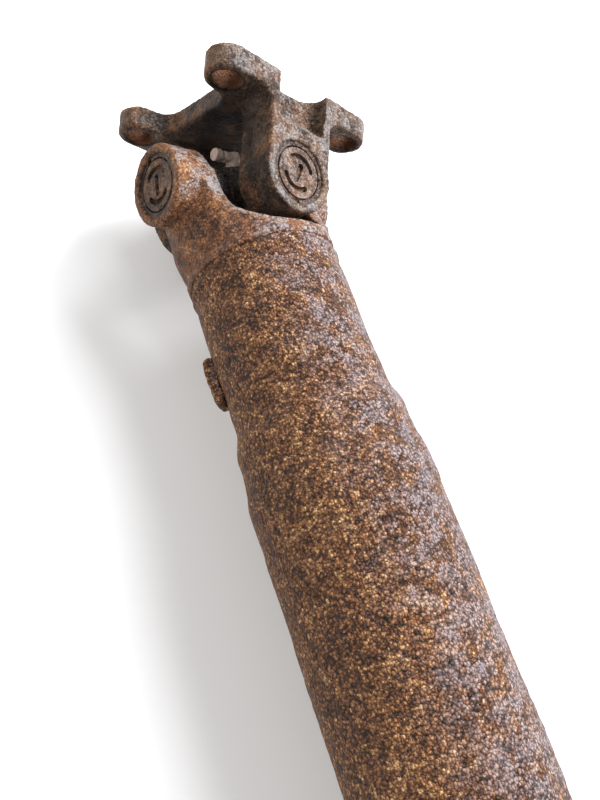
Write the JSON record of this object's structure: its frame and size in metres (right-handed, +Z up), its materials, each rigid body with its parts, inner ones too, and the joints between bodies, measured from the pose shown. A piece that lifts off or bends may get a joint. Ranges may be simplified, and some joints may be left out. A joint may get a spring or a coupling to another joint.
{
  "type": "propeller shaft",
  "caption": "Rusted propeller shaft: swaged tube with a universal joint and H-shaped bolt flange at each end, and a splined slip sleeve.",
  "frame": {"origin": "centre of the front flange's mating face", "axes": "+Y along the tube towards the front (pictured) flange, +Z up with the shaft lying level on one lug of each flange"},
  "size_m": [0.1241, 0.7621, 0.1185],
  "materials": {
    "rusted_tube": "heavy granular rust",
    "forged_yoke": "rusted forging with greasy dirt",
    "weld_metal": "rusted weld bead",
    "weight_steel": "heavy granular rust",
    "shaft_steel": "machined steel with a rust film",
    "pressed_steel": "rusted pressed steel",
    "cup_steel": "rust-stained ground steel",
    "circlip_steel": "rust-stained spring steel",
    "needle_steel": "ground",
    "cross_steel": "forged, greasy",
    "nipple_steel": "plated, rust-stained",
    "rubber_seal": "matt"
  },
  "bodies": {
    "shaft": {"front_tube_yoke": "forged_yoke", "front_weld_bead": "weld_metal", "tube": "rusted_tube", "rear_weld_bead": "weld_metal", "balance_weight_front": "weight_steel", "balance_weight_rear": "weight_steel", "spline_shaft": "shaft_steel", "front_yoke_cup_a": "cup_steel", "front_yoke_cup_b": "cup_steel", "front_yoke_circlip_a": "circlip_steel", "front_yoke_circlip_b": "circlip_steel", "front_yoke_needles": "needle_steel"},
    "front_cross": {"front_cross": "cross_steel", "front_cross_seals": "rubber_seal", "front_grease_nipple": "nipple_steel"},
    "front_flange": {"front_flange_yoke": "forged_yoke", "front_flange_cup_a": "cup_steel", "front_flange_cup_b": "cup_steel", "front_flange_circlip_a": "circlip_steel", "front_flange_circlip_b": "circlip_steel", "front_flange_needles": "needle_steel"},
    "sleeve": {"sleeve_yoke": "forged_yoke", "sleeve_plug": "pressed_steel", "sleeve_dust_cap": "pressed_steel", "sleeve_seal": "rubber_seal", "sleeve_grease_nipple": "nipple_steel", "sleeve_cup_a": "cup_steel", "sleeve_cup_b": "cup_steel", "sleeve_circlip_a": "circlip_steel", "sleeve_circlip_b": "circlip_steel", "sleeve_needles": "needle_steel"},
    "rear_cross": {"rear_cross": "cross_steel", "rear_cross_seals": "rubber_seal", "rear_grease_nipple": "nipple_steel"},
    "rear_flange": {"rear_flange_yoke": "forged_yoke", "rear_flange_cup_a": "cup_steel", "rear_flange_cup_b": "cup_steel", "rear_flange_circlip_a": "circlip_steel", "rear_flange_circlip_b": "circlip_steel", "rear_flange_needles": "needle_steel"}
  },
  "joints": [
    {"name": "front_yoke_pivot", "type": "hinge", "parent": "shaft", "child": "front_cross", "pos_m": [-0.01501, -0.03839, -0.00804], "axis": [0.807, 0, -0.5906], "range_deg": [-43, 1]},
    {"name": "front_flange_pivot", "type": "hinge", "parent": "front_cross", "child": "front_flange", "pos_m": [-0.01501, -0.03839, -0.00804], "axis": [0.5484, -0.3714, 0.7493], "range_deg": [-12, 32]},
    {"name": "slip", "type": "slide", "parent": "shaft", "child": "sleeve", "axis": [0, -1, 0], "range_m": [-0.02, 0.03]},
    {"name": "rear_yoke_pivot", "type": "hinge", "parent": "sleeve", "child": "rear_cross", "pos_m": [-0.01501, -0.68839, -0.00804], "axis": [0.807, 0, -0.5906], "range_deg": [-9, 35]},
    {"name": "rear_flange_pivot", "type": "hinge", "parent": "rear_cross", "child": "rear_flange", "pos_m": [-0.01501, -0.68839, -0.00804], "axis": [-0.5755, -0.225, -0.7863], "range_deg": [-22, 22]}
  ]
}
